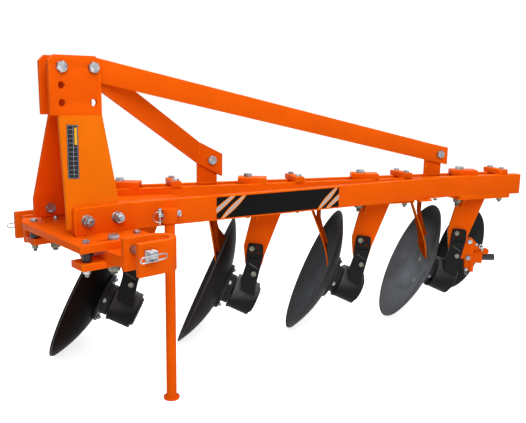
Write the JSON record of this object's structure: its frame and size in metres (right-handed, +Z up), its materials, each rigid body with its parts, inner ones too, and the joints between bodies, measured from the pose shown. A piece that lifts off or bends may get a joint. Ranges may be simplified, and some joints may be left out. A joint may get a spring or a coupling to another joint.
{
  "type": "disc plough",
  "caption": "Tractor-mounted disc plough: slanted twin-bar beam with dished discs on legs, braced mast with top-link holes, hitch brackets, furrow wheel and parking stand.",
  "frame": {"origin": "on the ground under the middle of the overall box", "axes": "+Y forward in the direction of travel, +X to the right of travel, +Z up"},
  "size_m": [1.3013, 2.631, 1.3159],
  "materials": {
    "orange_paint": "gloss",
    "black_paint": "satin",
    "zinc_steel": "satin",
    "dark_steel": "satin"
  },
  "bodies": {
    "frame": {"base_plate": "orange_paint", "brace_plate": "orange_paint", "bushes_far": "dark_steel", "bushes_near": "dark_steel", "clamp_bars": "orange_paint", "clamp_plate_far": "orange_paint", "clamp_plate_near": "orange_paint", "hanger_1": "black_paint", "hanger_2": "black_paint", "hanger_3": "black_paint", "hanger_4": "black_paint", "hitch_bracket_far": "orange_paint", "hitch_bracket_near": "orange_paint", "hitch_pin_far": "zinc_steel", "hitch_pin_near": "zinc_steel", "leg_1": "orange_paint", "leg_2": "orange_paint", "leg_3": "orange_paint", "leg_4": "orange_paint", "lock_pin": "zinc_steel", "main_beam": "orange_paint", "mast_lug": "orange_paint", "mast_pins": "zinc_steel", "mast_plate_far": "orange_paint", "mast_plate_near": "orange_paint", "near_beam": "orange_paint", "pivot_plates": "orange_paint", "posts": "orange_paint", "scraper_1": "orange_paint", "scraper_2": "orange_paint", "scraper_3": "orange_paint", "scraper_4": "orange_paint", "stand_sleeve": "orange_paint", "stay_long": "orange_paint", "stay_short": "orange_paint", "tie_plate": "orange_paint", "wheel_axle": "dark_steel", "wheel_bracket": "orange_paint", "wheel_spindle": "dark_steel"},
    "disc_1": {"disc_1": "black_paint", "hub_1": "black_paint"},
    "disc_2": {"disc_2": "black_paint", "hub_2": "black_paint"},
    "disc_3": {"disc_3": "black_paint", "hub_3": "black_paint"},
    "disc_4": {"disc_4": "black_paint", "hub_4": "black_paint"},
    "stand": {"stand": "orange_paint"},
    "furrow_wheel": {"furrow_wheel": "black_paint"}
  },
  "joints": [
    {"name": "disc_1_spin", "type": "hinge", "parent": "frame", "child": "disc_1", "pos_m": [0.38949, 0.9606, 0.30239], "axis": [-0.6113, -0.6789, -0.4067], "continuous": true},
    {"name": "disc_2_spin", "type": "hinge", "parent": "frame", "child": "disc_2", "pos_m": [0.18522, 0.42846, 0.30239], "axis": [-0.6113, -0.6789, -0.4067], "continuous": true},
    {"name": "disc_3_spin", "type": "hinge", "parent": "frame", "child": "disc_3", "pos_m": [-0.01905, -0.10368, 0.30239], "axis": [-0.6113, -0.6789, -0.4067], "continuous": true},
    {"name": "disc_4_spin", "type": "hinge", "parent": "frame", "child": "disc_4", "pos_m": [-0.22332, -0.63582, 0.30239], "axis": [-0.6113, -0.6789, -0.4067], "continuous": true},
    {"name": "furrow_wheel_spin", "type": "hinge", "parent": "frame", "child": "furrow_wheel", "pos_m": [-0.27396, -1.0705, 0.30594], "axis": [0.9903, 0, 0.1392], "continuous": true},
    {"name": "stand_lift", "type": "slide", "parent": "frame", "child": "stand", "axis": [0, 0, 1], "range_m": [0, 0.3]}
  ]
}
